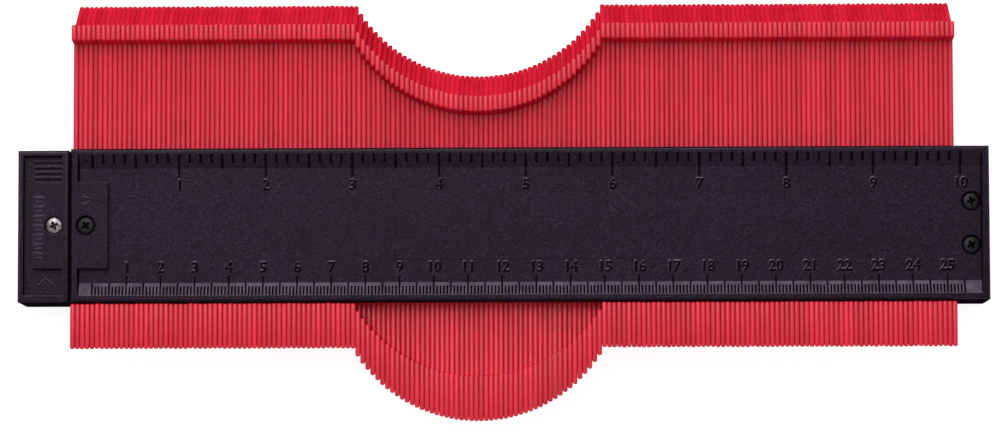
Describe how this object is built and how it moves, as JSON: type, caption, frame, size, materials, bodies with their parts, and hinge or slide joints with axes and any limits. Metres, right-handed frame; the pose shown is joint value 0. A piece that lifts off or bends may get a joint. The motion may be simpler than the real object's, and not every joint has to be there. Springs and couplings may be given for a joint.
{
  "type": "profile gauge",
  "caption": "Contour gauge with a comb of thin sliding fins between two ruler covers and a screw-clamped end block that frees them.",
  "frame": {"origin": "under the middle of the whole gauge, fins included, on the plane it lies on", "axes": "+X along the ruler to its right end, +Y the way the fins' upper tips point, +Z out of the ruler face"},
  "size_m": [0.284, 0.1254, 0.022],
  "materials": {
    "fin_plastic": "moulded",
    "housing_plastic": "moulded, fine grain",
    "black_screw": "blackened",
    "plated_screw": "bright plated",
    "plate_steel": "plain",
    "felt_strip": "felt"
  },
  "bodies": {
    "housing": {"front_cover": "housing_plastic", "rear_cover": "housing_plastic", "right_spacer": "housing_plastic", "link_plates": "plate_steel", "cover_screws": "black_screw", "friction_strips": "felt_strip"},
    "end_block": {"end_block_front": "housing_plastic", "end_block_rear": "housing_plastic", "clamp_nut": "plate_steel"},
    "clamp_screw": {"clamp_screw": "plated_screw"},
    "fins_left_01": {"fins_left_01": "fin_plastic"},
    "fins_left_02": {"fins_left_02": "fin_plastic"},
    "fins_left_03": {"fins_left_03": "fin_plastic"},
    "fins_left_04": {"fins_left_04": "fin_plastic"},
    "fins_left_05": {"fins_left_05": "fin_plastic"},
    "fins_left_06": {"fins_left_06": "fin_plastic"},
    "fins_left_07": {"fins_left_07": "fin_plastic"},
    "fins_left_08": {"fins_left_08": "fin_plastic"},
    "fins_left_09": {"fins_left_09": "fin_plastic"},
    "fins_left_10": {"fins_left_10": "fin_plastic"},
    "fins_contour_01": {"fins_contour_01": "fin_plastic"},
    "fins_contour_02": {"fins_contour_02": "fin_plastic"},
    "fins_contour_03": {"fins_contour_03": "fin_plastic"},
    "fins_contour_04": {"fins_contour_04": "fin_plastic"},
    "fins_contour_05": {"fins_contour_05": "fin_plastic"},
    "fins_contour_06": {"fins_contour_06": "fin_plastic"},
    "fins_contour_07": {"fins_contour_07": "fin_plastic"},
    "fins_contour_08": {"fins_contour_08": "fin_plastic"},
    "fins_contour_09": {"fins_contour_09": "fin_plastic"},
    "fins_contour_10": {"fins_contour_10": "fin_plastic"},
    "fins_contour_11": {"fins_contour_11": "fin_plastic"},
    "fins_contour_12": {"fins_contour_12": "fin_plastic"},
    "fins_contour_13": {"fins_contour_13": "fin_plastic"},
    "fins_contour_14": {"fins_contour_14": "fin_plastic"},
    "fins_contour_15": {"fins_contour_15": "fin_plastic"},
    "fins_contour_16": {"fins_contour_16": "fin_plastic"},
    "fins_contour_17": {"fins_contour_17": "fin_plastic"},
    "fins_contour_18": {"fins_contour_18": "fin_plastic"},
    "fins_contour_19": {"fins_contour_19": "fin_plastic"},
    "fins_contour_20": {"fins_contour_20": "fin_plastic"},
    "fins_contour_21": {"fins_contour_21": "fin_plastic"},
    "fins_contour_22": {"fins_contour_22": "fin_plastic"},
    "fins_contour_23": {"fins_contour_23": "fin_plastic"},
    "fins_contour_24": {"fins_contour_24": "fin_plastic"},
    "fins_contour_25": {"fins_contour_25": "fin_plastic"},
    "fins_contour_26": {"fins_contour_26": "fin_plastic"},
    "fins_right_01": {"fins_right_01": "fin_plastic"},
    "fins_right_02": {"fins_right_02": "fin_plastic"},
    "fins_right_03": {"fins_right_03": "fin_plastic"},
    "fins_right_04": {"fins_right_04": "fin_plastic"},
    "fins_right_05": {"fins_right_05": "fin_plastic"},
    "fins_right_06": {"fins_right_06": "fin_plastic"},
    "fins_right_07": {"fins_right_07": "fin_plastic"},
    "fins_right_08": {"fins_right_08": "fin_plastic"},
    "fins_right_09": {"fins_right_09": "fin_plastic"},
    "fins_right_10": {"fins_right_10": "fin_plastic"},
    "fins_right_11": {"fins_right_11": "fin_plastic"},
    "fins_right_12": {"fins_right_12": "fin_plastic"}
  },
  "joints": [
    {"name": "end_block_release", "type": "slide", "parent": "housing", "child": "end_block", "axis": [-1, 0, 0], "range_m": [0, 0.002]},
    {"name": "clamp_screw_turn", "type": "hinge", "parent": "end_block", "child": "clamp_screw", "pos_m": [-0.13145, -0.00495, 0.022], "axis": [0, 0, 1], "range_deg": [0, 270]},
    {"name": "fins_left_01_slide", "type": "slide", "parent": "housing", "child": "fins_left_01", "axis": [0, 1, 0], "range_m": [-0.0314, 0]},
    {"name": "fins_left_02_slide", "type": "slide", "parent": "housing", "child": "fins_left_02", "axis": [0, 1, 0], "range_m": [-0.0314, 0]},
    {"name": "fins_left_03_slide", "type": "slide", "parent": "housing", "child": "fins_left_03", "axis": [0, 1, 0], "range_m": [-0.0314, 0]},
    {"name": "fins_left_04_slide", "type": "slide", "parent": "housing", "child": "fins_left_04", "axis": [0, 1, 0], "range_m": [-0.0314, 0]},
    {"name": "fins_left_05_slide", "type": "slide", "parent": "housing", "child": "fins_left_05", "axis": [0, 1, 0], "range_m": [-0.0314, 0]},
    {"name": "fins_left_06_slide", "type": "slide", "parent": "housing", "child": "fins_left_06", "axis": [0, 1, 0], "range_m": [-0.0314, 0]},
    {"name": "fins_left_07_slide", "type": "slide", "parent": "housing", "child": "fins_left_07", "axis": [0, 1, 0], "range_m": [-0.0314, 0]},
    {"name": "fins_left_08_slide", "type": "slide", "parent": "housing", "child": "fins_left_08", "axis": [0, 1, 0], "range_m": [-0.0314, 0]},
    {"name": "fins_left_09_slide", "type": "slide", "parent": "housing", "child": "fins_left_09", "axis": [0, 1, 0], "range_m": [-0.0314, 0]},
    {"name": "fins_left_10_slide", "type": "slide", "parent": "housing", "child": "fins_left_10", "axis": [0, 1, 0], "range_m": [-0.0314, 0]},
    {"name": "fins_contour_01_slide", "type": "slide", "parent": "housing", "child": "fins_contour_01", "axis": [0, 1, 0], "range_m": [-0.02887, 0.00018]},
    {"name": "fins_contour_02_slide", "type": "slide", "parent": "housing", "child": "fins_contour_02", "axis": [0, 1, 0], "range_m": [-0.025, 0.00458]},
    {"name": "fins_contour_03_slide", "type": "slide", "parent": "housing", "child": "fins_contour_03", "axis": [0, 1, 0], "range_m": [-0.02189, 0.00803]},
    {"name": "fins_contour_04_slide", "type": "slide", "parent": "housing", "child": "fins_contour_04", "axis": [0, 1, 0], "range_m": [-0.01933, 0.01085]},
    {"name": "fins_contour_05_slide", "type": "slide", "parent": "housing", "child": "fins_contour_05", "axis": [0, 1, 0], "range_m": [-0.01719, 0.01319]},
    {"name": "fins_contour_06_slide", "type": "slide", "parent": "housing", "child": "fins_contour_06", "axis": [0, 1, 0], "range_m": [-0.01539, 0.01515]},
    {"name": "fins_contour_07_slide", "type": "slide", "parent": "housing", "child": "fins_contour_07", "axis": [0, 1, 0], "range_m": [-0.0139, 0.01679]},
    {"name": "fins_contour_08_slide", "type": "slide", "parent": "housing", "child": "fins_contour_08", "axis": [0, 1, 0], "range_m": [-0.01268, 0.01814]},
    {"name": "fins_contour_09_slide", "type": "slide", "parent": "housing", "child": "fins_contour_09", "axis": [0, 1, 0], "range_m": [-0.0117, 0.01924]},
    {"name": "fins_contour_10_slide", "type": "slide", "parent": "housing", "child": "fins_contour_10", "axis": [0, 1, 0], "range_m": [-0.01094, 0.02011]},
    {"name": "fins_contour_11_slide", "type": "slide", "parent": "housing", "child": "fins_contour_11", "axis": [0, 1, 0], "range_m": [-0.01039, 0.02076]},
    {"name": "fins_contour_12_slide", "type": "slide", "parent": "housing", "child": "fins_contour_12", "axis": [0, 1, 0], "range_m": [-0.01005, 0.02121]},
    {"name": "fins_contour_13_slide", "type": "slide", "parent": "housing", "child": "fins_contour_13", "axis": [0, 1, 0], "range_m": [-0.00991, 0.02145]},
    {"name": "fins_contour_14_slide", "type": "slide", "parent": "housing", "child": "fins_contour_14", "axis": [0, 1, 0], "range_m": [-0.00991, 0.02144]},
    {"name": "fins_contour_15_slide", "type": "slide", "parent": "housing", "child": "fins_contour_15", "axis": [0, 1, 0], "range_m": [-0.01006, 0.02119]},
    {"name": "fins_contour_16_slide", "type": "slide", "parent": "housing", "child": "fins_contour_16", "axis": [0, 1, 0], "range_m": [-0.01041, 0.02074]},
    {"name": "fins_contour_17_slide", "type": "slide", "parent": "housing", "child": "fins_contour_17", "axis": [0, 1, 0], "range_m": [-0.01097, 0.02007]},
    {"name": "fins_contour_18_slide", "type": "slide", "parent": "housing", "child": "fins_contour_18", "axis": [0, 1, 0], "range_m": [-0.01174, 0.0192]},
    {"name": "fins_contour_19_slide", "type": "slide", "parent": "housing", "child": "fins_contour_19", "axis": [0, 1, 0], "range_m": [-0.01273, 0.01808]},
    {"name": "fins_contour_20_slide", "type": "slide", "parent": "housing", "child": "fins_contour_20", "axis": [0, 1, 0], "range_m": [-0.01397, 0.01671]},
    {"name": "fins_contour_21_slide", "type": "slide", "parent": "housing", "child": "fins_contour_21", "axis": [0, 1, 0], "range_m": [-0.01547, 0.01506]},
    {"name": "fins_contour_22_slide", "type": "slide", "parent": "housing", "child": "fins_contour_22", "axis": [0, 1, 0], "range_m": [-0.01728, 0.01309]},
    {"name": "fins_contour_23_slide", "type": "slide", "parent": "housing", "child": "fins_contour_23", "axis": [0, 1, 0], "range_m": [-0.01944, 0.01073]},
    {"name": "fins_contour_24_slide", "type": "slide", "parent": "housing", "child": "fins_contour_24", "axis": [0, 1, 0], "range_m": [-0.02203, 0.00788]},
    {"name": "fins_contour_25_slide", "type": "slide", "parent": "housing", "child": "fins_contour_25", "axis": [0, 1, 0], "range_m": [-0.02517, 0.00439]},
    {"name": "fins_contour_26_slide", "type": "slide", "parent": "housing", "child": "fins_contour_26", "axis": [0, 1, 0], "range_m": [-0.02909, 0]},
    {"name": "fins_right_01_slide", "type": "slide", "parent": "housing", "child": "fins_right_01", "axis": [0, 1, 0], "range_m": [-0.0314, 0]},
    {"name": "fins_right_02_slide", "type": "slide", "parent": "housing", "child": "fins_right_02", "axis": [0, 1, 0], "range_m": [-0.0314, 0]},
    {"name": "fins_right_03_slide", "type": "slide", "parent": "housing", "child": "fins_right_03", "axis": [0, 1, 0], "range_m": [-0.0314, 0]},
    {"name": "fins_right_04_slide", "type": "slide", "parent": "housing", "child": "fins_right_04", "axis": [0, 1, 0], "range_m": [-0.0314, 0]},
    {"name": "fins_right_05_slide", "type": "slide", "parent": "housing", "child": "fins_right_05", "axis": [0, 1, 0], "range_m": [-0.0314, 0]},
    {"name": "fins_right_06_slide", "type": "slide", "parent": "housing", "child": "fins_right_06", "axis": [0, 1, 0], "range_m": [-0.0314, 0]},
    {"name": "fins_right_07_slide", "type": "slide", "parent": "housing", "child": "fins_right_07", "axis": [0, 1, 0], "range_m": [-0.0314, 0]},
    {"name": "fins_right_08_slide", "type": "slide", "parent": "housing", "child": "fins_right_08", "axis": [0, 1, 0], "range_m": [-0.0314, 0]},
    {"name": "fins_right_09_slide", "type": "slide", "parent": "housing", "child": "fins_right_09", "axis": [0, 1, 0], "range_m": [-0.0314, 0]},
    {"name": "fins_right_10_slide", "type": "slide", "parent": "housing", "child": "fins_right_10", "axis": [0, 1, 0], "range_m": [-0.0314, 0]},
    {"name": "fins_right_11_slide", "type": "slide", "parent": "housing", "child": "fins_right_11", "axis": [0, 1, 0], "range_m": [-0.0314, 0]},
    {"name": "fins_right_12_slide", "type": "slide", "parent": "housing", "child": "fins_right_12", "axis": [0, 1, 0], "range_m": [-0.0314, 0]}
  ]
}
